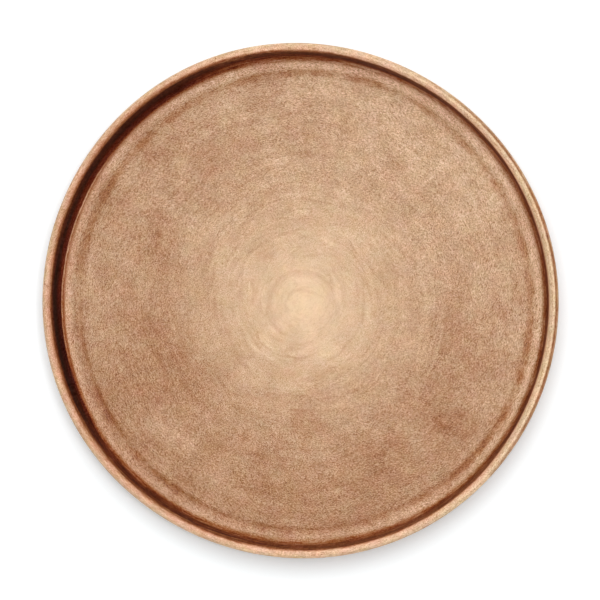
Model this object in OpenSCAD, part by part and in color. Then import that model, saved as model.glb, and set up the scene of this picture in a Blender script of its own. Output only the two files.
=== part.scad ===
// Round stoneware dinner plate with a low upright rim, turned in one piece.
// The origin is the middle of the foot ring, on the table, and +Z points up.

/* [Plate] */
// Diameter across the outside of the rim
outer_d = 280; // [200:1:330]
// Height from the table to the top of the rim
height = 22; // [18:0.5:34]

/* [Wall and rim] */
// Thickness of the wall at the top of the rim
rim_t = 4.6; // [3.5:0.1:7]
// Radius that rounds both edges of the rim
lip_r = 2.1; // [0.5:0.1:3]
// Outward lean of the wall's inside face, in degrees from upright
inner_lean = 10; // [2:0.5:20]
// Outward lean of the wall's outside face, in degrees from upright
outer_lean = 5; // [0:0.5:18]
// Radius of the hollow corner where the floor turns up into the wall
corner_r = 2.5; // [1:0.1:5]
// Radius of the heel where the wall turns under the plate
heel_r = 7; // [2:0.5:9]

/* [Floor] */
// Thickness of the floor
floor_t = 5; // [4:0.1:8]
// How much the border of the floor climbs from the turned ring to the wall
border_rise = 0.8; // [0:0.1:2]

/* [Turned ring in the floor] */
// Width of the floor's border, between the ring and the wall
border_w = 7.2; // [5:0.1:20]
// Width of the ring
ring_w = 3.4; // [1:0.1:6]
// Depth of the ring
ring_depth = 0.35; // [0.1:0.05:0.8]

/* [Foot ring] */
// How far the foot ring stands in from the heel
foot_inset = 36; // [15:1:60]
// Width of the foot ring, where it meets the underside
foot_w = 7; // [4:0.5:12]
// Width of the unglazed face that stands on the table
foot_face_w = 4.4; // [2:0.1:8]
// Height of the foot ring below the underside
foot_h = 2; // [1:0.1:4]
// How much the underside climbs from the foot ring to the heel
under_rise = 1; // [0:0.1:2]
// Radius that rounds the foot ring's edges
foot_edge_r = 0.7; // [0.2:0.1:1.5]

/* [Hidden] */
// Sides of a full turn, and degrees turned by each side of a rounded corner
turn_sides = 240;
arc_step = 9;
// Sides of the ring's hollow
ring_sides = 8;
glaze_colour = [0.76, 0.59, 0.45];

rim_outer_r = outer_d / 2;
rim_inner_r = rim_outer_r - rim_t;
under_z = foot_h + under_rise;
floor_z = foot_h + floor_t;
border_z = floor_z + border_rise;
heel_x = rim_outer_r - (height - under_z) * tan(outer_lean);
corner_x = rim_inner_r - (height - border_z) * tan(inner_lean);
foot_outer_r = heel_x - foot_inset;
foot_inner_r = foot_outer_r - foot_w;
foot_taper = max(foot_w - foot_face_w, 0) / 2;
ring_outer_r = corner_x - border_w;
ring_mid_r = ring_outer_r - ring_w / 2;

// Corners of the section from the middle of the underside, round the rim, to the ring:
// each is [distance from the axis, height, radius that rounds it]
corners = [
    [0, foot_h, 0],
    [foot_inner_r, foot_h, foot_edge_r],
    [foot_inner_r + foot_taper, 0, foot_edge_r],
    [foot_outer_r - foot_taper, 0, foot_edge_r],
    [foot_outer_r, foot_h, foot_edge_r],
    [heel_x, under_z, heel_r],
    [rim_outer_r, height, lip_r],
    [rim_inner_r, height, lip_r],
    [corner_x, border_z, corner_r],
    [ring_outer_r, floor_z, 0]
];

// The ring's hollow, from its outer edge to its inner edge
turned_ring = [
    for (k = [1:ring_sides])
        let (across = 1 - 2 * k / ring_sides)
            [ring_mid_r + across * ring_w / 2, floor_z - ring_depth * (1 - pow(across, 2))]
];

function unit(v) = v / norm(v);

// Angle at b, in degrees, between the lines to a and to c
function angle_at(a, b, c) = acos(unit(a - b) * unit(c - b));

// Largest radius that rounds the corner at b and leaves half of each side straight
function fitting_r(a, b, c, wanted) =
    min(wanted, min(norm(a - b), norm(c - b)) / 2 * tan(angle_at(a, b, c) / 2));

// Points on the arc that rounds the corner at b, from the side towards a to the side towards c
function arc(a, b, c, radius) =
    let (
        half = angle_at(a, b, c) / 2,
        middle = b + unit(unit(a - b) + unit(c - b)) * radius / sin(half),
        from_a = b + unit(a - b) * radius / tan(half) - middle,
        from_c = b + unit(c - b) * radius / tan(half) - middle,
        turn = 180 - 2 * half,
        steps = ceil(turn / arc_step)
    )
    [
        for (k = [0:steps])
            let (swept = turn * k / steps)
                middle + (from_a * sin(turn - swept) + from_c * sin(swept)) / sin(turn)
    ];

function place(corner) = [corner.x, corner.y];

function rounded(k) =
    let (a = place(corners[k - 1]), b = place(corners[k]), c = place(corners[k + 1]))
        arc(a, b, c, fitting_r(a, b, c, corners[k].z));

module section() {
    polygon([
        place(corners[0]),
        for (k = [1:len(corners) - 2]) each rounded(k),
        [ring_outer_r, floor_z],
        each turned_ring,
        [0, floor_z]
    ]);
}

module plate() {
    color(glaze_colour)
        rotate_extrude($fn = turn_sides)
            section();
}

plate();
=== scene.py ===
from math import cos, pi, radians, sin

import bpy
import numpy as np
from mathutils import Matrix, Vector


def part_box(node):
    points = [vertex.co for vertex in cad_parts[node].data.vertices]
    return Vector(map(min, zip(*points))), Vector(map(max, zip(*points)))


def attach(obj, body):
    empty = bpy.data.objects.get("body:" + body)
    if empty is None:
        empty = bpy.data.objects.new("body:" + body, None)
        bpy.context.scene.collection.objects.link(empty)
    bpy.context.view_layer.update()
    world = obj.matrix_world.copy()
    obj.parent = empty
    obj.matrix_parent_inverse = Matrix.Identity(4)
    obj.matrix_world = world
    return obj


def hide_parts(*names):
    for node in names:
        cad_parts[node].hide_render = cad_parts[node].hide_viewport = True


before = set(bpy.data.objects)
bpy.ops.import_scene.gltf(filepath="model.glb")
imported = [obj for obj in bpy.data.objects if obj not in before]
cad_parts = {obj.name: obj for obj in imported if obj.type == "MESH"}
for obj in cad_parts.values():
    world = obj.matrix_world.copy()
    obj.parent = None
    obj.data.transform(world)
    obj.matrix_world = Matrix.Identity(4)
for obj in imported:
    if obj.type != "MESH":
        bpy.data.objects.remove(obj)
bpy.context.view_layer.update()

mm = 0.001
print("stage 1: the frame is loaded,", len(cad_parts), "node")

# Sizes of the plate in mm; the first block repeats the CAD solid's section, with one rounding more
plate = {
    "rimThick": 4.6,
    "lipRound": 2.1,
    "innerLean": radians(10),
    "outerLean": radians(5),
    "cornerRound": 2.5,
    "heelRound": 7.0,
    "footHigh": 2.0,
    "floorThick": 5.0,
    "borderRise": 0.8,
    "borderWide": 7.2,
    "ringWide": 3.4,
    "ringDeep": 0.35,
    "footInset": 36.0,
    "footWide": 7.0,
    "footFace": 4.4,
    "footRound": 0.7,
    "underRise": 1.0,
    "borderRound": 3.0,  # rounding between the ring and the border
    # The mesh
    "turns": 480,  # columns of the mesh round the plate
    "arcStep": 0.32,  # spacing of its rows on a rounded corner
    "arcTurn": 0.12,  # or this many radians, where that is further
    "ringLead": 3,  # how far inside the ring its close rows start
    # Wobble of the hand-made form: waves round the plate as (count, size, world angle of a crest in degrees)
    "outlineWaves": [(2, 0.65, -39), (2, 0.44, 0), (3, 0.23, -19), (4, 0.25, 19)],
    "heightWaves": [(2, 0.10, 70), (3, 0.08, -20), (7, 0.04, 5)],
    "ringWaves": [
        (0, 0.34, 0), (1, 1.32, -32), (2, 0.75, 91), (3, 0.35, -30), (4, 0.48, -18), (7, 0.22, 12),
        (13, 0.14, 3),
    ],
    "wobbleOut": (96, 138),  # the outline's wobble grows between these radii
    "wobbleUp": (1, 9),  # and between these heights
    "heightFrom": 12,  # the rim's rise and fall grows from this height up
    # Ridges that the brush left on the floor
    "ridgeHigh": 0.05,
    "ridgeWide": 8.5,  # from ridge to ridge
    "ridgeFine": 5.3,  # and in a second, finer set
    "ridgeFineShare": 0.6,
    "ridgeBends": [(5, 1.6, 17), (3, 1.2, -23)],  # waves round the plate, push, radius for a radian's turn
    "ridgeFrom": (1, 6),  # they fade in between these radii
    "ridgeTo": (70, 112),  # and out between these
}


def sectionCorners(p, rimR, high):
    # Corners of the section from the middle of the floor over the rim to the middle of the underside:
    # radius, height, rounding and the spacing of the mesh rows after it, in mm
    floorZ = p["footHigh"] + p["floorThick"]
    borderZ = floorZ + p["borderRise"]
    underZ = p["footHigh"] + p["underRise"]
    rimIn = rimR - p["rimThick"]
    cornerR = rimIn - (high - borderZ) * np.tan(p["innerLean"])
    heelR = rimR - (high - underZ) * np.tan(p["outerLean"])
    ringOut = cornerR - p["borderWide"]
    ringIn = ringOut - p["ringWide"]
    footOut = heelR - p["footInset"]
    footIn = footOut - p["footWide"]
    taper = (p["footWide"] - p["footFace"]) / 2
    corners = {
        "middle": (0, floorZ, 0, 1.9),
        "ringIn": (ringIn - p["ringLead"], floorZ, 0, 0.6),
        "ringOut": (ringOut, floorZ, p["borderRound"], 0.8),
        "fillet": (cornerR, borderZ, p["cornerRound"], 1.3),
        "lipIn": (rimIn, high, p["lipRound"], 0.3),
        "lipOut": (rimR, high, p["lipRound"], 2.0),
        "heel": (heelR, underZ, p["heelRound"], 2.6),
        "footOut": (footOut, p["footHigh"], p["footRound"], 0.8),
        "faceOut": (footOut - taper, 0, p["footRound"], 1.1),
        "faceIn": (footIn + taper, 0, p["footRound"], 0.8),
        "footIn": (footIn, p["footHigh"], p["footRound"], 3.2),
        "underMiddle": (0, p["footHigh"], 0, 3.2),
    }
    return corners, (ringIn + ringOut) / 2


def unit(way):
    return way / np.linalg.norm(way)


def roundedPath(corners, arcStep, arcTurn):
    # Joins the corners with straight stretches and tangent arcs: an arc of radius q starts
    # q / tan(half the corner's angle) before the corner, and is swept between its two radii.
    # Also gives the rows where each corner's arc starts and ends
    names = list(corners)
    spots = np.array(list(corners.values()), float)
    points = [spots[:1, :2]]
    arcRows = {}
    for k in range(1, len(spots)):
        b, q = spots[k, :2], spots[k, 2]
        arc = b[None, :]
        if q > 0:
            toA = unit(spots[k - 1, :2] - b)
            toC = unit(spots[k + 1, :2] - b)
            halfAngle = np.arccos(toA @ toC) / 2
            sweep = pi - 2 * halfAngle
            middle = b + unit(toA + toC) * q / np.sin(halfAngle)
            start = b + toA * q / np.tan(halfAngle) - middle
            end = b + toC * q / np.tan(halfAngle) - middle
            steps = max(2, round(sweep * q / max(arcStep, arcTurn * q)))
            t = np.linspace(0, 1, steps + 1)[:, None]
            arc = middle + (start * np.sin((1 - t) * sweep) + end * np.sin(t * sweep)) / np.sin(sweep)
        last = points[-1][-1]
        gap = np.linalg.norm(arc[0] - last)
        share = np.linspace(0, 1, max(1, round(gap / spots[k - 1, 3])) + 1)[1:-1, None]
        points += [last + (arc[0] - last) * share, arc]
        rows = sum(map(len, points))
        arcRows[names[k]] = (rows - len(arc), rows - 1)
    return np.concatenate(points), arcRows


def waves(turn, settings):
    # Sum of cosines: each wave is size * cos(count * (angle - crest))
    return sum(size * np.cos(count * (turn - radians(crest))) for count, size, crest in settings)


def smooth(x, low, high):
    # Smoothstep from 0 at low to 1 at high
    t = np.clip((x - low) / (high - low), 0, 1)
    return t * t * (3 - 2 * t)


def facing(turn, angle, outer, inner):
    # 1 within the inner half-angle round a direction, fading to 0 at the outer one
    return smooth(np.cos(turn - radians(angle)), cos(radians(outer)), cos(radians(inner)))


def openPoles(grid):
    # The grid as one list of points, with its first and last rows drawn together into one point each
    return np.concatenate([grid[:1].mean(1), grid[1:-1].reshape(-1, grid.shape[-1]), grid[-1:].mean(1)])


def plateGrid(p, turn):
    # A section turned about Z on a (row, turn) grid: (radius * cos(turn), radius * sin(turn), height).
    # Each row keeps its place on the section, and the hand-made wobble grows from nothing under the
    # foot ring to its full size at the rim
    low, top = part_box("plate")
    rimR = (top[0] - low[0]) / 2 / mm
    high = (top[2] - low[2]) / mm
    corners, ringR = sectionCorners(p, rimR, high)
    path, arcRows = roundedPath(corners, p["arcStep"], p["arcTurn"])
    steps = np.linalg.norm(np.diff(path, axis=0), axis=1)
    along = np.concatenate([[0], np.cumsum(steps)])[:, None]  # mm from the middle of the floor
    marks = {}  # where each corner's arc starts and ends, in those mm
    for name, (first, last) in arcRows.items():
        marks[name + "Start"] = along[first, 0]
        marks[name + "End"] = along[last, 0]
    r, z = path[:, :1], path[:, 1:]
    upper = along < marks["lipOutEnd"]  # rows on the open side of the plate

    grow = smooth(r, *p["wobbleOut"]) * smooth(z, *p["wobbleUp"])
    radius = r + grow * waves(turn, p["outlineWaves"])
    height = z + smooth(z, p["heightFrom"], high) * waves(turn, p["heightWaves"])

    # The turned ring: a shallow hollow whose middle wanders round the floor
    ringGap = r - ringR - waves(turn, p["ringWaves"])
    across = ringGap / (p["ringWide"] / 2)
    height = height - upper * p["ringDeep"] * np.clip(1 - across ** 2, 0, 1)

    # Brush ridges: two sets of cosine rings, pushed out of round, strongest in the middle of the floor
    bent = sum((push * np.cos(count * turn + r / lag) for count, push, lag in p["ridgeBends"]), start=r)
    ridge = np.cos(bent * 2 * pi / p["ridgeWide"])
    ridge = ridge + p["ridgeFineShare"] * np.cos(bent * 2 * pi / p["ridgeFine"] + 2 * turn)
    ridge = upper * p["ridgeHigh"] * ridge * smooth(r, *p["ridgeFrom"]) * (1 - smooth(r, *p["ridgeTo"]))
    height = height + ridge

    grid = np.stack([radius * np.cos(turn), radius * np.sin(turn), height * np.ones_like(turn)], -1)
    return grid, along, np.where(upper, ringGap, 99.0), marks


def gridFaces(rows, columns):
    # Quads between the rings of points, and a fan of triangles from each end ring to its pole
    here = 1 + np.arange(rows)[:, None] * columns + np.arange(columns)[None, :]
    beside = np.roll(here, -1, axis=1)
    quads = np.stack([here[:-1], here[1:], beside[1:], beside[:-1]], -1).reshape(-1, 4)
    topFan = np.stack([np.zeros(columns, int), here[0], beside[0]], -1)
    underFan = np.stack([np.full(columns, rows * columns + 1), beside[-1], here[-1]], -1)
    return quads.tolist() + topFan.tolist() + underFan.tolist()


def buildPlate(p, g):
    turn = np.linspace(0, 2 * pi, p["turns"], endpoint=False)[None, :]
    grid, along, ringGap, marks = plateGrid(p, turn)
    mesh = bpy.data.meshes.new("glazed_plate")
    mesh.from_pydata((openPoles(grid) * mm).tolist(), [], gridFaces(len(along) - 2, p["turns"]))
    mesh.polygons.foreach_set("use_smooth", np.ones(len(mesh.polygons), bool))

    # What the materials follow: the place on the section in mm from the middle of the floor, the gap
    # to the turned ring, and what changes round the plate
    everyRow = np.ones_like(along)
    attributes = {"onSection": along * np.ones_like(turn), "ringGap": ringGap}
    attributes.update({name: waves(turn, settings) * everyRow for name, settings in g["around"].items()})
    attributes.update({name: facing(turn, *settings) * everyRow for name, settings in g["sides"].items()})
    for name, values in attributes.items():
        flat = openPoles(values[..., None])[:, 0].astype(np.float32)
        mesh.attributes.new(name, "FLOAT", "POINT").data.foreach_set("value", flat)
    piece = bpy.data.objects.new("glazed_plate", mesh)
    bpy.context.scene.collection.objects.link(piece)
    return piece, marks, openPoles(attributes["onSection"][..., None])[:, 0]


# The glaze. Its tone runs from 0, pooled and nearly black, to 1, the thinnest cream, and its places are
# in mm. Colours are as they are seen (sRGB, 0 to 255), and tints are added to them, as shares of 1
glaze = {
    "brushed": {
        "tones": [
            (0.00, (26, 12, 8)), (0.16, (58, 27, 14)), (0.32, (96, 43, 20)), (0.50, (142, 85, 45)),
            (0.56, (155, 100, 58)), (0.645, (173, 124, 86)), (0.75, (194, 152, 116)), (0.90, (223, 187, 151)),
            (1.00, (246, 212, 173)),
        ],
        "roughness": 0.42, "uneven": 0.15, "bump": 0.30, "specular": 0.25,
    },
    # The wall is seen at a low angle, where its gloss adds to the colour, so the darks are richer
    "pooled": {
        "tones": [
            (0.00, (37, 17, 13)), (0.16, (56, 25, 17)), (0.32, (91, 39, 21)), (0.50, (139, 80, 43)),
            (0.56, (153, 98, 59)), (0.645, (170, 122, 86)), (0.75, (192, 151, 117)), (0.90, (223, 187, 151)),
            (1.00, (246, 212, 173)),
        ],
        "roughness": 0.34, "uneven": 0.08, "bump": 0.12, "specular": 0.02,
    },
    "pooledFrom": -0.8,  # where the pooled material starts, from the start of the wall's corner
    "relief": (0.5, 0.5, 0.8),  # how far the fine grain, the clouds and the narrow strokes stand out
    "reliefHigh": 0.00035,  # height of that relief, in metres

    # Noises on the place: features for each mm, detail, roughness and distortion
    "noises": {
        "warp": (0.035, 3.0, 0.55, 0.0),
        "patches": (0.11, 4.0, 0.65, 0.4),
        "arcs": (0.09, 2.0, 0.5, 0.0),
        "broad": (0.022, 3.0, 0.6, 0.4),
        "clouds": (0.09, 4.0, 0.6, 0.6),
        "fine": (2.4, 1.0, 0.7, 0.3),
        "coarse": (0.42, 2.0, 0.6, 0.0),
        "poolEdge": (0.12, 3.0, 0.6, 0.0),
        "pool": (0.05, 2.0, 0.5, 0.0),
        "crown": (0.03, 3.0, 0.5, 0.0),
        "outside": (0.03, 2.0, 0.5, 0.0),
        "drift": (0.11, 5.0, 0.66, 0.0),
    },
    # Strokes are noises drawn out round the plate: the way that they run, features round the plate and
    # for each mm outwards, detail and roughness
    "strokes": {
        "wide": ("strokeWay", 1.3, 0.12, 2.0, 0.6),
        "narrow": ("strokeWay", 2.4, 0.36, 3.0, 0.6),
        "arcMask": ("strokeWay", 2.3, 0.06, 2.0, 0.6),
        "darkArcs": ("strokeWay", 1.1, 0.17, 1.0, 0.4),
        "paleArcs": ("strokeWay", 1.4, 0.14, 1.0, 0.4),
        "middleArcs": ("strokeWay", 1.6, 0.38, 1.0, 0.4),
        "combed": ("grainWay", 120, 2.9, 1.0, 0.6),
        "streaked": ("grainWay", 34, 1.9, 1.0, 0.5),
        "middleRings": ("outward", 9, 2.0, 2.0, 0.6),
        "ringFray": ("outward", 26, 0.5, 3.0, 0.65),
        "ringBreak": ("outward", 9, 0.05, 3.0, 0.6),
    },
    "curls": {"strokeWay": 0.035, "grainWay": -0.016},  # turn of each way for each mm outwards, in radians
    # What grows or fades outwards from the middle: between which distances, and its share at each
    "fades": {
        "warp": (0, 70, 0.3, 1.0),
        "arcs": (8, 32, 0.0, 1.0),
        "middleArcs": (20, 46, 1.0, 0.0),
        "outerArcs": (55, 105, 1.0, 0.35),
        "strokes": (6, 60, 0.14, 0.56),
        "clouds": (5, 85, 0.3, 1.0),
        "fineGrain": (4, 40, 0.4, 1.0),
        "grain": (5, 74, 0.18, 1.0),
        "middleRings": (16, 44, 1.0, 0.0),
        "outerStreaks": (20, 110, 0.0, 1.0),
    },

    # Tone of the brushed floor against the distance from the middle of its rings
    "floorTones": [
        (0, 0.991), (8, 0.969), (15, 0.922), (24, 0.899), (34, 0.862), (45, 0.822), (56, 0.786), (68, 0.757),
        (80, 0.730), (92, 0.727), (106, 0.733), (127, 0.738),
    ],
    "middle": (1.2, -1.6),  # middle of the brushed rings
    "warp": 8.0,  # how far rings and patches are pushed out of true
    "lighterSide": (0.45, 0.89, 0.062),  # direction of the paler side, and its strength
    "wideStrokes": 0.15,
    "narrowStrokes": 0.20,
    "broadCloud": 0.18,
    "clouds": 0.23,
    "fineGrain": 0.88,
    "lineGrain": (0.80, 0.18, 0.06),  # combed round the plate, streaked and coarse
    "middleRings": 0.095,
    "grainDark": 1.3,  # how much further the grain's dark specks stand out than its pale ones
    "grainColour": (0.84, 1.0, 1.16),
    "tints": ((0.066, 0.0, 0.066), (0.050, 0.0, -0.044)),  # drifts between peach and olive, and in warmth
    # Thin arcs between two strokes: change of tone, and how near to the meeting they reach
    "darkArcs": (-0.055, 0.06),
    "paleArcs": (0.040, 0.06),
    "middleArcs": (-0.028, 0.08),
    "arcMask": (0.40, 0.58),  # they show where a noise of their own is over this
    # Patches of thin and thick glaze: x, y, radius and change of tone
    "patches": [
        (-82, -26, 24, -0.035), (-103, -58, 17, -0.015), (-36, -18, 18, 0.03), (80, -66, 15, -0.10),
        (52, -95, 19, -0.045), (18, -108, 22, -0.03), (-30, -110, 16, 0.025), (92, -26, 26, -0.04),
        (-104, 56, 16, -0.06), (-17, 27, 7, -0.05), (6, -66, 14, -0.045), (-36, -29, 7, -0.05),
        (-84, 44, 18, -0.03), (88, 60, 30, 0.035), (44, 92, 30, 0.025), (-30, 92, 13, -0.02),
        (-78, -69, 11, 0.05), (30, -74, 14, 0.03), (15, -28, 7, 0.05), (-14, -22, 9, 0.03),
        (6, -17, 5, 0.025), (108, 16, 14, 0.03), (-35, -72, 46, 0.03), (20, -88, 24, 0.02),
        (56, 26, 18, 0.02), (62, 62, 44, 0.02), (82, 6, 16, -0.015), (-83, 84, 17, -0.05),
        (-24, 119, 16, -0.04), (-58, 90, 22, -0.045), (68, -50, 18, -0.05), (-80, 30, 14, -0.045),
        (108, -30, 12, -0.03), (-50, -29, 13, 0.032), (-48, -50, 12, -0.02), (70, -12, 13, -0.027),
        (-112, -22, 14, -0.025), (50, 88, 12, -0.02),
    ],
    "patchEdge": (0.1, 1.4),  # a patch fades between these shares of its radius
    "patchBreak": (0.3, 0.7, 0.25, 1.75),  # and a noise between the first two gives it these shares
    # Rings and arcs that the brush left round the middle: x, y, radius and half-width, world angle
    # of the arc's middle, outer and inner half-angle in degrees, and change of tone
    "turnedArcs": [
        (0.8, -2.6, 9.4, 1.7, 125, 105, 60, -0.042), (0.8, -2.0, 18.4, 2.4, 130, 180, 90, -0.040),
        (0.3, -1.5, 13.8, 2.4, 115, 115, 60, 0.025), (-1.0, -1.5, 29.5, 1.0, 235, 60, 35, -0.050),
        (-1.0, -1.5, 34.0, 1.6, 215, 45, 20, 0.050), (0.0, 0.0, 36.0, 1.9, 85, 40, 15, 0.045),
        (0.0, 0.0, 35.5, 1.4, -38, 40, 20, -0.050), (0.0, -1.0, 22.5, 1.6, 5, 60, 30, 0.020),
    ],
    "arcBend": 6,  # how far they are pushed out of true
    # The turned ring is stained by the glaze that stayed in it
    "ringTone": -0.13,
    "ringStain": (0.2, 3.7),  # the stain fades between these distances from the ring's middle
    "ringFray": (3.0, 0.8),  # and a noise and the combed grain push its edges
    "ringBreak": (0.34, 0.62, 0.25, 1.3),  # a noise between the first two gives the stain these shares
    "ringWarm": (0.009, 0.0, -0.013),

    # The pool of glaze inside the wall: tone against the distance from the start of the wall's corner,
    # on most of the plate, on its sharp side, and where a painted highlight makes a paler line in the corner
    "poolTones": [
        (-1, 0.695), (0.6, 0.61), (1.6, 0.545), (3.4, 0.49), (5.2, 0.36), (9.5, 0.29), (13.0, 0.30),
        (15.0, 0.42),
    ],
    "sharpTones": [
        (-1.2, 0.69), (-0.2, 0.66), (0.4, 0.59), (0.9, 0.43), (1.4, 0.32), (2.2, 0.27), (3.2, 0.26),
        (6.5, 0.16), (9.6, 0.13), (12.0, 0.18), (13.2, 0.25), (14.3, 0.32), (15.2, 0.38),
    ],
    "cornerGlintTones": [
        (-1.2, 0.69), (-0.4, 0.62), (0.1, 0.555), (0.5, 0.55), (0.78, 0.76), (1.06, 0.75), (1.36, 0.32),
        (2.0, 0.27), (3.2, 0.26), (6.5, 0.16), (9.6, 0.13), (12.0, 0.18), (13.2, 0.25), (14.3, 0.32),
        (15.2, 0.38),
    ],
    "softEdge": (-0.8, 1.1),  # the floor gives way to the pool between these places
    "crispEdge": (-1.2, -0.6),  # and on the sharp side between these
    "earlyBy": 0.16,  # how much earlier the pool starts on the early side
    "rimStreaks": (36, 0.9),  # streaks up the wall: features round the plate and for each mm upwards
    "rimRuns": (0.25, 0.25, 0.8),  # and runs, as shares of those
    "rimNoise": (1.0, 3.0, 0.6),  # scale, detail and roughness of both
    "poolFray": (0.9, 3.0, 1.6),  # push of the pool's edge by a noise, the runs and the streaks
    "poolMottle": (0.42, 0.85, 0.45),  # change of the pool's tone by the streaks, runs and fine grain
    "poolCloud": 0.12,  # and by a slow noise
    "sharpUneven": 0.45,  # share of that push and mottle on the sharp side
    "shelf": (3.6, 6.6),  # the hollow corner ends between these places
    "upper": (8.5, 12.5),  # and the upper wall starts between these
    "fadedLift": 0.12,  # paler upper wall on the faded side
    "paintedLightLift": 0.08,  # painted light: paler pool on the side that faces the lamps
    # Darker and paler stretches of the pool: their band on the wall, and change of tone
    "poolBands": {
        "deepSide": ((0.3, 1.4, 8.0, 11.0), -0.060),
        "amberSide": ((3.0, 6.5, 11.0, 13.5), 0.085),
    },
    "grainInPool": -0.6,  # how much of the grain the pool hides
    "edgeAmber": (0.0, -0.004, -0.03),  # the pool's edge is thin, clear amber
    "edgeShare": (1.6, 4.0),  # how strongly, on most of the plate and on the sharp side
    "nearWall": (-6.0, -1.8),  # the floor's border changes between these places
    "borderStrip": 0.07,  # to a paler strip, in part painted light that lifts the wall's shade off the border
    "paintedWallBounce": (0.037, 0.0, 0.002),  # and a warmer one, painted bounce light off the wall
    "bounceEnd": (7.0, 14.0),  # that painted light fades between these places
    "sharpBounceEnd": (4.5, 7.0),
    "bounceShare": (0.3, 1.0),  # its strength off and on the side where the painted bounce light is strongest

    # The crown of the rim. Its places count from the start of its inner rounding
    "crown": 0.885,
    "crownEdge": (0.2, 2.0),  # the wall gives way to the crown between these places
    "crownSoftEdge": (-1.6, 3.3),  # and on the soft side between these
    "crownFray": 0.15,  # share of the pool's fray that pushes that edge
    "crownUneven": (0.14, 0.36, 0.42),  # change of tone by a noise, the streaks and the fine grain
    "crownTint": 1.8,  # how much further the tints drift on it
    "thinDrop": 3.8,  # how much further down the crown's thin glaze reaches on the thin side
    "softDrop": -0.05,  # darker crown on the soft side
    "paintedGlint": (0.0, 0.9, 0.085, -0.02),  # painted highlight on its ridge: two distances from it, and the change of tone at each
    "speckNoise": (1.6, 1.0, 0.5),  # iron specks: scale, detail and roughness of their noise
    "specks": (0.70, 0.75, 0.0, -0.22),  # and the change of tone where it is high
    "redBand": (-1.0, 1.2, 1.8, 5.0),  # its inner edge is redder in this band
    "crownRed": (0.036, -0.008, 0.0),
    "lipBand": (-3.0, -0.5, 0.8, 2.1),  # and paler in this one on the brown side
    "lipLift": 0.13,
    # The outside. Its places count from the end of the crown's outer rounding
    "outside": 0.60,
    "outsideUneven": (0.2, 0.2, 0.2),  # change of tone by the clouds, the streaks and a noise
    "outsideFrom": (-0.9, 0.4),  # the crown gives way to it between these places
    "outlineFrom": (-3.2, -2.0),  # the runs show on the crown's outer side from here
    "outlineRuns": 0.5,
    "edgeBand": (-2.9, -2.1, -1.7, -0.9),  # a line along the crown's outer edge
    "edgeAfter": 0.4,  # its share beyond that band
    "edgeTones": (0.02, -0.30),  # its change of tone off and on the brown side
    "edgeShift": 0.6,  # and how much earlier it comes there

    # What changes round the plate, as waves (count, size, world angle of a crest in degrees): how early
    # the pool and the crown start, how pale the pool, its corner and its upper part are, and how dark
    # the ring's stain is
    "around": {
        "poolStart": [(0, 0.16, 0), (1, 0.27, 122), (2, 0.26, 121), (3, 0.20, 36), (4, 0.14, -3)],
        "crownStart": [(0, 0.07, 0), (1, 0.80, 1), (2, 0.44, 26), (3, 0.16, 47)],
        "poolShade": [(1, 0.04, 0)],
        # the corner's waves are in part painted light against the wall's shadow on it
        "shelfShade": [(0, -0.022, 0), (1, 0.084, 114), (2, 0.022, 62), (3, 0.042, 42), (4, 0.035, -25)],
        "upperShade": [(0, 0.095, 0), (1, 0.015, -39), (2, 0.058, 8), (3, 0.02, -29)],
        "ringShade": [(0, 0.88, 0), (1, 0.20, 39), (3, 0.18, -25), (4, 0.19, -34), (6, 0.13, 29)],
    },
    # Sides of the plate: world angle, outer and inner half-angle, in degrees
    "sides": {
        "sharpSide": (160, 58, 34),
        # where the painted highlight runs as a paler line along the corner
        "cornerGlintSide": (170, 32, 14),
        "softSide": (180, 85, 40),
        "fadedSide": (222, 58, 8),
        "thinSide": (-5, 42, 10),
        # where painted light makes the pool paler
        "litSide": (-68, 42, 18),
        # where the painted bounce light off the wall is strongest
        "bounceSide": (110, 150, 60),
        "brownSide": (9, 57, 28),
        # where the painted highlight runs along the crown
        "paintedGlintSide": (12, 85, 40),
        "earlySide": (-145, 34, 12),
        "deepSide": (-165, 18, 7),
        "amberSide": (136, 42, 18),
    },
}


def screenColour(colour):
    return (*(part / 255 for part in colour), 1.0)


def makeNode(tree, kind, values=None, **settings):
    made = tree.nodes.new("ShaderNode" + kind)
    for name, value in settings.items():
        setattr(made, name, value)
    for name, value in (values or {}).items():
        if isinstance(value, bpy.types.NodeSocket):
            tree.links.new(value, made.inputs[name])
        else:
            made.inputs[name].default_value = value
    return made


def maths(tree, operation, *values):
    return makeNode(tree, "Math", dict(enumerate(values)), operation=operation).outputs[0]


def times(tree, a, b):
    return maths(tree, "MULTIPLY", a, b)


def timesPlus(tree, a, b, c):
    # a * b + c
    return maths(tree, "MULTIPLY_ADD", a, b, c)


def vectorMaths(tree, operation, *values, result=0):
    return makeNode(tree, "VectorMath", dict(enumerate(values)), operation=operation).outputs[result]


def remap(tree, value, low, high, toLow=0.0, toHigh=1.0, kind="SMOOTHSTEP"):
    names = ("Value", "From Min", "From Max", "To Min", "To Max")
    values = dict(zip(names, (value, low, high, toLow, toHigh)))
    return makeNode(tree, "MapRange", values, interpolation_type=kind).outputs[0]


def after(origin, places):
    # Places on the section, counted from the origin
    return [origin + place for place in places]


def between(tree, value, band, left=0.0):
    # Rises from 0 to 1 over the band's first two places, times a fall from 1 to left over its last two
    rise, full, fall, gone = band
    return times(tree, remap(tree, value, rise, full), remap(tree, value, fall, gone, 1.0, left))


def noise(tree, vector, scale, detail=2.0, rough=0.5, bend=0.0, result=0):
    values = {"Vector": vector, "Scale": scale, "Detail": detail, "Roughness": rough, "Distortion": bend}
    return makeNode(tree, "TexNoise", values).outputs[result]


def vectorNoise(tree, vector, settings):
    # Three noises at once, each from -0.5 to 0.5
    made = noise(tree, vector, *settings, result="Color")
    return vectorMaths(tree, "SUBTRACT", made, (0.5, 0.5, 0.5))


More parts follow.
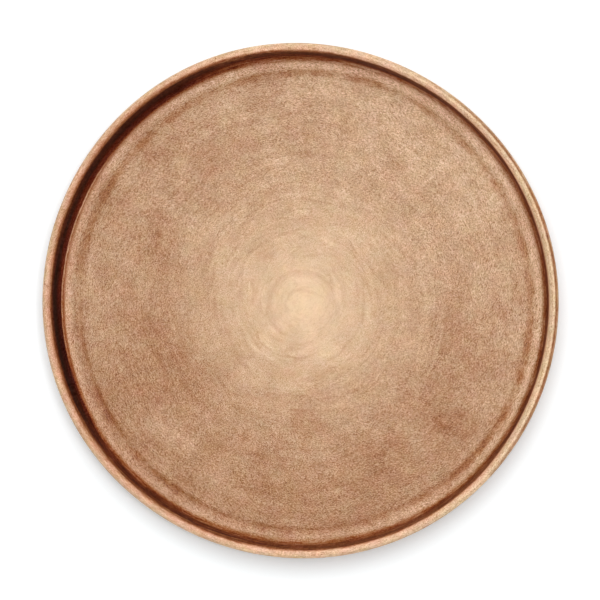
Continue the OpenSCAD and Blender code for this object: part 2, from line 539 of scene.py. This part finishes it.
def addUp(tree, start, parts):
    # start + the sum of strength * (value - 0.5)
    total = start
    for value, strength in parts:
        total = timesPlus(tree, maths(tree, "SUBTRACT", value, 0.5), strength, total)
    return total


def ramp(tree, value, stops, toColour):
    made = makeNode(tree, "ValToRGB", {"Fac": value})
    elements = made.color_ramp.elements
    while len(elements) < len(stops):
        elements.new(0.5)
    for element, (place, colour) in zip(elements, stops):
        element.position = place
        element.color = toColour(colour)
    return made.outputs[0]


def toneAlong(tree, value, stops):
    # Tone read off a list of (mm, tone), straight between its stops
    first, last = stops[0][0], stops[-1][0]
    place = remap(tree, value, first, last, kind="LINEAR")
    shares = [((mms - first) / (last - first), tone) for mms, tone in stops]
    return ramp(tree, place, shares, lambda tone: (tone, tone, tone, 1))


def mixTone(tree, share, under, over):
    return makeNode(tree, "Mix", {"Factor": share, "A": under, "B": over}, data_type="FLOAT").outputs[0]


def attribute(tree, name):
    return makeNode(tree, "Attribute", attribute_name=name).outputs["Fac"]


def toLinear(tree, colour):
    # Screen values to the linear ones that the shader takes: ((c + 0.055) / 1.055) to the power 2.4,
    # held just above the black where that curve ends
    lifted = vectorMaths(tree, "MULTIPLY_ADD", colour, (1 / 1.055,) * 3, (0.055 / 1.055,) * 3)
    lifted = vectorMaths(tree, "MAXIMUM", lifted, (0.06, 0.055, 0.053))
    return makeNode(tree, "Gamma", {"Color": lifted, "Gamma": 2.4}).outputs[0]


def newMaterial(name):
    material = bpy.data.materials.new(name)
    material.use_nodes = True
    material.node_tree.nodes.clear()
    return material, material.node_tree


def placeInMm(tree):
    return vectorMaths(tree, "MULTIPLY", makeNode(tree, "TexCoord").outputs["Object"], (1 / mm,) * 3)


def fade(tree, g, distance, name, size=1.0, kind="SMOOTHSTEP"):
    # How much of something shows at this distance, read off its line in the fades
    near, far, nearShare, farShare = g["fades"][name]
    return remap(tree, distance, near, far, nearShare * size, farShare * size, kind)


def floorSpots(tree, g):
    # Where a point lies among the brushed rings: its distance and direction from their middle, pushed
    # out of true by a slow noise, and the ways that the strokes and the grain curl from there
    place = placeInMm(tree)
    flat = vectorMaths(tree, "MULTIPLY", place, (1, 1, 0))
    offAxis = vectorMaths(tree, "LENGTH", flat, result="Value")
    reach = fade(tree, g, offAxis, "warp", g["warp"])
    reach = makeNode(tree, "CombineXYZ", {"X": reach, "Y": reach}).outputs[0]
    push = vectorNoise(tree, place, g["noises"]["warp"])
    warped = vectorMaths(tree, "MULTIPLY_ADD", push, reach, flat)
    offMiddle = vectorMaths(tree, "SUBTRACT", warped, (*g["middle"], 0))
    distance = vectorMaths(tree, "LENGTH", offMiddle, result="Value")
    outward = vectorMaths(tree, "NORMALIZE", offMiddle)
    spots = {
        "place": place, "flat": flat, "offAxis": offAxis, "warped": warped, "distance": distance,
        "outward": outward,
    }
    for name, perMm in g["curls"].items():
        values = {"Vector": outward, "Angle": times(tree, distance, perMm)}
        spots[name] = makeNode(tree, "VectorRotate", values, rotation_type="Z_AXIS").outputs[0]
    return spots


def cloud(tree, g, spots, name):
    # Noise on the place itself, the same in every direction
    return noise(tree, spots["place"], *g["noises"][name])


def roundPlace(tree, way, length, roundTurn, perMm):
    # (direction, length) as a place, on which a noise's features run round the plate
    arm = vectorMaths(tree, "MULTIPLY", way, (roundTurn, roundTurn, 0))
    lift = makeNode(tree, "CombineXYZ", {"Z": times(tree, length, perMm)}).outputs[0]
    return vectorMaths(tree, "ADD", arm, lift)


def stroke(tree, g, spots, name):
    way, roundTurn, perMm, detail, rough = g["strokes"][name]
    place = roundPlace(tree, spots[way], spots["distance"], roundTurn, perMm)
    return noise(tree, place, 1.0, detail, rough)


def floorGlaze(tree, g, spots):
    # The brushed floor, with its grain and the stain in the turned ring
    distance = spots["distance"]
    tone = toneAlong(tree, distance, g["floorTones"])
    x, y, strength = g["lighterSide"]
    towards = vectorMaths(tree, "DOT_PRODUCT", spots["place"], (x, y, 0), result="Value")
    tone = timesPlus(tree, towards, strength / g["floorTones"][-1][0], tone)

    # Patches, broken up by clouds of their own
    patches = 0.0
    near, far = g["patchEdge"]
    for x, y, size, change in g["patches"]:
        gap = vectorMaths(tree, "DISTANCE", spots["warped"], (x, y, 0), result="Value")
        patches = maths(tree, "ADD", patches, remap(tree, gap, near * size, far * size, change, 0.0))
    breakUp = remap(tree, cloud(tree, g, spots, "patches"), *g["patchBreak"], "LINEAR")
    tone = timesPlus(tree, patches, breakUp, tone)

    # Arcs round the middle: 1 on the arc's radius, fading over its half-width and towards its ends
    bend = vectorNoise(tree, spots["place"], g["noises"]["arcs"])
    bent = vectorMaths(tree, "MULTIPLY_ADD", bend, (g["arcBend"], g["arcBend"], 0), spots["flat"])
    for x, y, size, halfWide, side, outer, inner, change in g["turnedArcs"]:
        offCentre = vectorMaths(tree, "SUBTRACT", bent, (x, y, 0))
        gap = maths(tree, "SUBTRACT", vectorMaths(tree, "LENGTH", offCentre, result="Value"), size)
        onArc = remap(tree, maths(tree, "ABSOLUTE", gap), 0.0, halfWide, change, 0.0)
        way = (cos(radians(side)), sin(radians(side)), 0)
        direction = vectorMaths(tree, "NORMALIZE", offCentre)
        aligned = vectorMaths(tree, "DOT_PRODUCT", direction, way, result="Value")
        shown = remap(tree, aligned, cos(radians(outer)), cos(radians(inner)))
        tone = timesPlus(tree, onArc, shown, tone)

    # Thin arcs where two strokes meet: the lines on which a noise is 0.5
    arcMask = remap(tree, stroke(tree, g, spots, "arcMask"), *g["arcMask"])
    arcMask = times(tree, arcMask, fade(tree, g, distance, "arcs"))
    middleMask = fade(tree, g, distance, "middleArcs")
    for name, mask in (("darkArcs", arcMask), ("paleArcs", arcMask), ("middleArcs", middleMask)):
        size, width = g[name]
        meeting = maths(tree, "ABSOLUTE", maths(tree, "SUBTRACT", stroke(tree, g, spots, name), 0.5))
        arcs = times(tree, remap(tree, meeting, 0.0, width, 1.0, 0.0), mask)
        tone = timesPlus(tree, arcs, fade(tree, g, distance, "outerArcs", size), tone)

    # Brush strokes and clouds
    narrow = stroke(tree, g, spots, "narrow")
    wide = stroke(tree, g, spots, "wide")
    strokeSum = addUp(tree, 0.0, [(wide, g["wideStrokes"]), (narrow, g["narrowStrokes"])])
    tone = timesPlus(tree, strokeSum, fade(tree, g, distance, "strokes", kind="LINEAR"), tone)
    clouds = cloud(tree, g, spots, "clouds")
    cloudSum = addUp(tree, 0.0, [(cloud(tree, g, spots, "broad"), g["broadCloud"]), (clouds, g["clouds"])])
    tone = timesPlus(tree, cloudSum, fade(tree, g, distance, "clouds", kind="LINEAR"), tone)

    # The fine grain of the fired glaze, half of it drawn out round the plate. Its sum s becomes
    # s * (1 - grainDark * s), which lowers its dark specks and holds its pale ones back
    fine = cloud(tree, g, spots, "fine")
    combed = stroke(tree, g, spots, "combed")
    lines = (combed, stroke(tree, g, spots, "streaked"), cloud(tree, g, spots, "coarse"))
    grain = addUp(tree, 0.0, zip(lines, g["lineGrain"]))
    grain = addUp(tree, grain, [(fine, fade(tree, g, distance, "fineGrain", g["fineGrain"]))])
    grain = times(tree, grain, timesPlus(tree, grain, -g["grainDark"], 1.0))
    grain = times(tree, grain, fade(tree, g, distance, "grain", kind="LINEAR"))
    rings = maths(tree, "SUBTRACT", stroke(tree, g, spots, "middleRings"), 0.5)
    grain = timesPlus(tree, rings, fade(tree, g, distance, "middleRings", g["middleRings"]), grain)

    # The stain in the turned ring, broken into strokes and frayed at its edges
    frays = (stroke(tree, g, spots, "ringFray"), combed)
    ringGap = addUp(tree, attribute(tree, "ringGap"), zip(frays, g["ringFray"]))
    inRing = remap(tree, maths(tree, "ABSOLUTE", ringGap), *g["ringStain"], 1.0, 0.0)
    broken = remap(tree, stroke(tree, g, spots, "ringBreak"), *g["ringBreak"])
    stain = times(tree, times(tree, inRing, broken), attribute(tree, "ringShade"))
    tone = timesPlus(tree, stain, g["ringTone"], tone)
    return {"tone": tone, "grain": grain, "stain": stain, "fine": fine, "clouds": clouds, "narrow": narrow}


def wallGlaze(tree, g, spots, floor, marks):
    # The pool: dark where the glaze ran down the inside of the wall, amber in the corner at its foot
    along = attribute(tree, "onSection")
    sharp = attribute(tree, "sharpSide")
    rimPlace = roundPlace(tree, spots["outward"], along, *g["rimStreaks"])
    streaks = noise(tree, rimPlace, *g["rimNoise"])
    runs = noise(tree, vectorMaths(tree, "MULTIPLY", rimPlace, g["rimRuns"]), *g["rimNoise"])

    upWall = maths(tree, "SUBTRACT", along, marks["filletStart"])
    upWall = maths(tree, "ADD", upWall, attribute(tree, "poolStart"))
    upWall = timesPlus(tree, attribute(tree, "earlySide"), g["earlyBy"], upWall)
    uneven = mixTone(tree, sharp, 1.0, g["sharpUneven"])
    fray = addUp(tree, 0.0, zip((cloud(tree, g, spots, "poolEdge"), runs, streaks), g["poolFray"]))
    fray = times(tree, fray, uneven)
    frayed = maths(tree, "ADD", upWall, fray)
    soft = remap(tree, frayed, *g["softEdge"])
    crisp = remap(tree, frayed, *g["crispEdge"])
    intoPool = mixTone(tree, sharp, soft, crisp)

    sharpTone = toneAlong(tree, frayed, g["sharpTones"])
    # Where a painted highlight runs as a paler line along the corner's rounding
    cornerGlintTone = toneAlong(tree, frayed, g["cornerGlintTones"])
    sharpTone = mixTone(tree, attribute(tree, "cornerGlintSide"), sharpTone, cornerGlintTone)
    tone = mixTone(tree, sharp, toneAlong(tree, frayed, g["poolTones"]), sharpTone)
    tone = maths(tree, "ADD", tone, attribute(tree, "poolShade"))
    # The corner's paleness round the plate, in part painted light against the wall's shadow there
    onShelf = remap(tree, upWall, *g["shelf"], 1.0, 0.0)
    tone = timesPlus(tree, onShelf, attribute(tree, "shelfShade"), tone)
    upperTone = timesPlus(tree, attribute(tree, "fadedSide"), g["fadedLift"], attribute(tree, "upperShade"))
    tone = timesPlus(tree, remap(tree, upWall, *g["upper"]), upperTone, tone)
    # Painted light: the pool is paler on the side that faces the lamps
    tone = timesPlus(tree, attribute(tree, "litSide"), g["paintedLightLift"], tone)
    for side, (band, change) in g["poolBands"].items():
        inBand = times(tree, between(tree, upWall, band), attribute(tree, side))
        tone = timesPlus(tree, inBand, change, tone)
    mottle = addUp(tree, 0.0, zip((streaks, runs, floor["fine"]), g["poolMottle"]))
    tone = timesPlus(tree, mottle, uneven, tone)
    tone = addUp(tree, tone, [(cloud(tree, g, spots, "pool"), g["poolCloud"])])

    # The floor's border beside it, which is paler just before the corner, in part painted light against the
    # wall's shade
    nearWall = remap(tree, upWall, *g["nearWall"])
    border = timesPlus(tree, nearWall, g["borderStrip"], floor["tone"])
    tone = mixTone(tree, intoPool, border, tone)
    return {
        "tone": tone, "along": along, "sharp": sharp, "upWall": upWall, "intoPool": intoPool, "fray": fray,
        "nearWall": nearWall, "rimPlace": rimPlace, "streaks": streaks, "runs": runs,
    }


def rimGlaze(tree, g, spots, floor, wall, marks):
    # The crown of the rim stays pale, with small iron specks, and the outside is brushed darker
    along = wall["along"]
    start = marks["lipInStart"]
    end = marks["lipOutEnd"]
    ridge = (marks["lipInEnd"] + marks["lipOutStart"]) / 2
    softSide = attribute(tree, "softSide")
    brownSide = attribute(tree, "brownSide")
    shifted = maths(tree, "ADD", along, attribute(tree, "crownStart"))
    shifted = timesPlus(tree, attribute(tree, "thinSide"), g["thinDrop"], shifted)
    shifted = timesPlus(tree, wall["fray"], g["crownFray"], shifted)
    crisp = remap(tree, shifted, *after(start, g["crownEdge"]))
    soft = remap(tree, shifted, *after(start, g["crownSoftEdge"]))
    intoCrown = mixTone(tree, softSide, crisp, soft)

    crown = addUp(tree, g["crown"], zip((cloud(tree, g, spots, "crown"), wall["streaks"], floor["fine"]),
                                        g["crownUneven"]))
    # A painted highlight along the crown's ridge, on the side that it faces
    offRidge = maths(tree, "ABSOLUTE", maths(tree, "SUBTRACT", along, ridge))
    paintedGlint = times(tree, remap(tree, offRidge, *g["paintedGlint"]), attribute(tree, "paintedGlintSide"))
    specks = remap(tree, noise(tree, wall["rimPlace"], *g["speckNoise"]), *g["specks"])
    crown = maths(tree, "ADD", maths(tree, "ADD", crown, paintedGlint), specks)
    crown = timesPlus(tree, softSide, g["softDrop"], crown)
    tone = mixTone(tree, intoCrown, wall["tone"], crown)
    redEdge = between(tree, shifted, after(start, g["redBand"]))
    onLip = times(tree, between(tree, along, after(start, g["lipBand"])), brownSide)
    tone = timesPlus(tree, onLip, g["lipLift"], tone)

    # A line along the crown's outer edge, dark on the brown side, and the runs over it
    edgeTone = mixTone(tree, brownSide, *g["edgeTones"])
    edgePlace = timesPlus(tree, brownSide, g["edgeShift"], along)
    onEdge = between(tree, edgePlace, after(end, g["edgeBand"]), g["edgeAfter"])
    tone = timesPlus(tree, onEdge, edgeTone, tone)
    atOutline = remap(tree, along, *after(end, g["outlineFrom"]))
    tone = addUp(tree, tone, [(wall["runs"], times(tree, atOutline, g["outlineRuns"]))])

    cloudy, streaky, broad = g["outsideUneven"]
    streaky = fade(tree, g, spots["offAxis"], "outerStreaks", streaky)
    outside = addUp(tree, g["outside"], [
        (floor["clouds"], cloudy), (wall["streaks"], streaky), (cloud(tree, g, spots, "outside"), broad),
    ])
    tone = mixTone(tree, remap(tree, along, *after(end, g["outsideFrom"])), tone, outside)
    return {"tone": tone, "intoCrown": intoCrown, "redEdge": redEdge}


def glazeColour(tree, g, tones, marks):
    # One tone for the whole plate, read off the glaze's colours, with tints added to it: the sum of
    # amount * tint for the grain, the wall's painted bounce light, the ring, the crown's and the pool's
    # edge, and drifts
    spots = floorSpots(tree, g)
    floor = floorGlaze(tree, g, spots)
    wall = wallGlaze(tree, g, spots, floor, marks)
    rim = rimGlaze(tree, g, spots, floor, wall, marks)
    colour = ramp(tree, rim["tone"], tones, screenColour)

    intoPool, sharp = wall["intoPool"], wall["sharp"]
    grain = times(tree, floor["grain"], timesPlus(tree, intoPool, g["grainInPool"], 1.0))
    # Painted bounce light off the wall, warming the floor's border and fading up the wall
    fading = mixTone(tree, sharp, remap(tree, wall["upWall"], *g["bounceEnd"], 1.0, 0.0),
                     remap(tree, wall["upWall"], *g["sharpBounceEnd"], 1.0, 0.0))
    bounce = times(tree, wall["nearWall"], fading)
    bounce = times(tree, bounce, mixTone(tree, attribute(tree, "bounceSide"), *g["bounceShare"]))
    poolEdge = times(tree, intoPool, maths(tree, "SUBTRACT", 1.0, intoPool))  # most where it is half way
    poolEdge = times(tree, poolEdge, mixTone(tree, sharp, *g["edgeShare"]))
    parts = [
        (grain, g["grainColour"]), (bounce, g["paintedWallBounce"]), (floor["stain"], g["ringWarm"]),
        (rim["redEdge"], g["crownRed"]), (poolEdge, g["edgeAmber"]),
    ]
    drift = vectorNoise(tree, spots["place"], g["noises"]["drift"])
    drift = makeNode(tree, "SeparateXYZ", {"Vector": drift}).outputs
    onCrown = mixTone(tree, rim["intoCrown"], 1.0, g["crownTint"])
    parts += [(times(tree, drift[axis], onCrown), tint) for axis, tint in zip("XY", g["tints"])]
    for amount, tint in parts:
        spread = makeNode(tree, "CombineXYZ", {"X": amount, "Y": amount, "Z": amount}).outputs[0]
        colour = vectorMaths(tree, "MULTIPLY_ADD", spread, tint, colour)
    return toLinear(tree, colour), floor


def makeGlaze(name, g, kind, marks):
    material, tree = newMaterial(name)
    colour, floor = glazeColour(tree, g, kind["tones"], marks)
    uneven = kind["uneven"]
    gloss = addUp(tree, kind["roughness"], [(floor["clouds"], uneven), (floor["fine"], uneven)])
    relief = addUp(tree, 0.0, zip((floor["fine"], floor["clouds"], floor["narrow"]), g["relief"]))
    bump = makeNode(tree, "Bump", {"Strength": kind["bump"], "Distance": g["reliefHigh"], "Height": relief})
    shader = makeNode(tree, "BsdfPrincipled", {
        "Base Color": colour, "Roughness": gloss, "Normal": bump.outputs[0],
        "Specular IOR Level": kind["specular"], "IOR": 1.5,
    })
    makeNode(tree, "OutputMaterial", {"Surface": shader.outputs[0]})
    return material


# Bare fired clay under the foot ring: buff, dry, with grog
bareClay = {
    "tones": [(0.0, (140, 96, 66)), (0.5, (183, 140, 104)), (1.0, (214, 180, 146))],
    "grog": (0.9, 3.0, 0.7),  # features for each mm, detail and roughness
    "patches": (0.08, 2.0),
    "uneven": (0.9, 0.5),  # change of tone by the grog and the patches
    "roughness": 0.85,
    "specular": 0.3,
    "bump": 0.5,
    "bumpHigh": 0.0003,  # in metres
}


def makeClay(name, c):
    material, tree = newMaterial(name)
    place = placeInMm(tree)
    grog = noise(tree, place, *c["grog"])
    tone = addUp(tree, 0.5, zip((grog, noise(tree, place, *c["patches"])), c["uneven"]))
    colour = toLinear(tree, ramp(tree, tone, c["tones"], screenColour))
    bump = makeNode(tree, "Bump", {"Strength": c["bump"], "Distance": c["bumpHigh"], "Height": grog})
    shader = makeNode(tree, "BsdfPrincipled", {
        "Base Color": colour, "Roughness": c["roughness"], "Normal": bump.outputs[0],
        "Specular IOR Level": c["specular"],
    })
    makeNode(tree, "OutputMaterial", {"Surface": shader.outputs[0]})
    return material


def shareOutMaterials(piece, g, marks, onSection):
    # Faces take the pooled glaze inside the wall, clay under the foot ring, and brushed glaze elsewhere.
    # A face's place on the section is the mean of its first three corners
    mesh = piece.data
    starts = np.empty(len(mesh.polygons), int)
    mesh.polygons.foreach_get("loop_start", starts)
    corner = np.empty(len(mesh.loops), int)
    mesh.loops.foreach_get("vertex_index", corner)
    place = (onSection[corner[starts]] + onSection[corner[starts + 1]] + onSection[corner[starts + 2]]) / 3
    index = np.zeros(len(place), int)
    index[(place > marks["filletStart"] + g["pooledFrom"]) & (place < marks["lipInStart"])] = 1
    index[(place > marks["faceOutStart"]) & (place < marks["faceInEnd"])] = 2
    mesh.polygons.foreach_set("material_index", index)


glazedPlate, marks, onSection = buildPlate(plate, glaze)
print("stage 2: the plate has", len(glazedPlate.data.polygons), "faces")

brushed = makeGlaze("brushed_sand_glaze", glaze, glaze["brushed"], marks)
pooled = makeGlaze("pooled_amber_glaze", glaze, glaze["pooled"], marks)
clay = makeClay("bare_clay", bareClay)
for material in (brushed, pooled, clay):
    glazedPlate.data.materials.append(material)
shareOutMaterials(glazedPlate, glaze, marks, onSection)
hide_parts("plate")
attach(glazedPlate, "root")
print("stage 3: glaze and clay are on")

studio = {
    "floorHalf": 4.0,
    "floorTone": 0.82,  # reflectance of the floor for everything but the camera
    "floorSeen": (1.17, 1.22, 1.24),  # and as the camera sees it, so that open floor is white
    "skyLight": 0.46,
    # Each lamp: energy, width, height over the floor and the side that it stands on (world angle)
    "lamps": {
        "key": (1.57, radians(57), radians(66), radians(80)),
        "side": (0.30, radians(9), radians(70), radians(5)),
    },
}


def seenByCamera(tree):
    # 1 for camera, glossy and transmission rays, 0 for the rest
    path = makeNode(tree, "LightPath").outputs
    either = maths(tree, "MAXIMUM", path["Is Camera Ray"], path["Is Glossy Ray"])
    return maths(tree, "MAXIMUM", either, path["Is Transmission Ray"])


def makeFloor(s):
    half = s["floorHalf"]
    mesh = bpy.data.meshes.new("studio_floor")
    corners = [(-half, -half, 0), (half, -half, 0), (half, half, 0), (-half, half, 0)]
    mesh.from_pydata(corners, [], [(0, 1, 2, 3)])
    floor = bpy.data.objects.new("studio_floor", mesh)
    bpy.context.scene.collection.objects.link(floor)
    material, tree = newMaterial("white_paper")
    shades = {}
    for axis, level in zip("XYZ", s["floorSeen"]):
        shades[axis] = remap(tree, seenByCamera(tree), 0.0, 1.0, s["floorTone"], level, "LINEAR")
    shade = makeNode(tree, "CombineXYZ", shades).outputs[0]
    shader = makeNode(tree, "BsdfDiffuse", {"Color": shade})
    makeNode(tree, "OutputMaterial", {"Surface": shader.outputs[0]})
    mesh.materials.append(material)


def makeSky(s):
    world = bpy.data.worlds.new("studio_sky")
    bpy.context.scene.world = world
    world.use_nodes = True
    tree = world.node_tree
    tree.nodes.clear()
    level = remap(tree, seenByCamera(tree), 0.0, 1.0, s["skyLight"], 1.0, "LINEAR")
    sky = makeNode(tree, "Background", {"Color": (1, 1, 1, 1), "Strength": level})
    makeNode(tree, "OutputWorld", {"Surface": sky.outputs[0]})


def makeLamps(s):
    for name, (energy, width, height, side) in s["lamps"].items():
        lamp = bpy.data.lights.new(name, "SUN")
        lamp.energy = energy
        lamp.angle = width
        light = bpy.data.objects.new(name, lamp)
        light.rotation_euler = (0, pi / 2 - height, side)
        bpy.context.scene.collection.objects.link(light)


view = {
    "picture": 600,  # side of the picture in pixels
    "rimAcross": 518.9,  # width of the plate in that picture
    "centre": (297.1, 301.0),  # middle of the rim in that picture
    "away": 1.5,  # camera to the middle of the rim, in metres
    "lean": radians(6.6),  # off the plate's axis
    "leanSide": radians(0),  # and towards this side
    "sensor": 36.0,
}


def makeCamera(v):
    # The camera stands off the axis by the lean, and is turned so that +Y stays upright in the picture
    low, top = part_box("plate")
    perMetre = v["rimAcross"] / (top[0] - low[0])
    camera = bpy.data.objects.new("camera", bpy.data.cameras.new("camera"))
    camera.data.sensor_width = v["sensor"]
    camera.data.lens = v["sensor"] * v["away"] * perMetre / v["picture"]
    camera.data.clip_start = 0.05
    camera.data.clip_end = 50
    offX = (v["picture"] / 2 - v["centre"][0]) / perMetre
    offY = (v["centre"][1] - v["picture"] / 2) / perMetre
    side = Matrix.Rotation(v["leanSide"], 3, "Z")
    turn = side @ Matrix.Rotation(v["lean"], 3, "Y") @ side.inverted()
    camera.location = turn @ Vector((0, 0, v["away"]))
    camera.location += Vector((offX, offY, top[2]))
    camera.rotation_euler = turn.to_euler()
    bpy.context.scene.collection.objects.link(camera)
    bpy.context.scene.camera = camera


makeFloor(studio)
makeSky(studio)
makeLamps(studio)
makeCamera(view)
bpy.context.scene.view_settings.view_transform = "Standard"
print("stage 4: the studio and the camera are set")
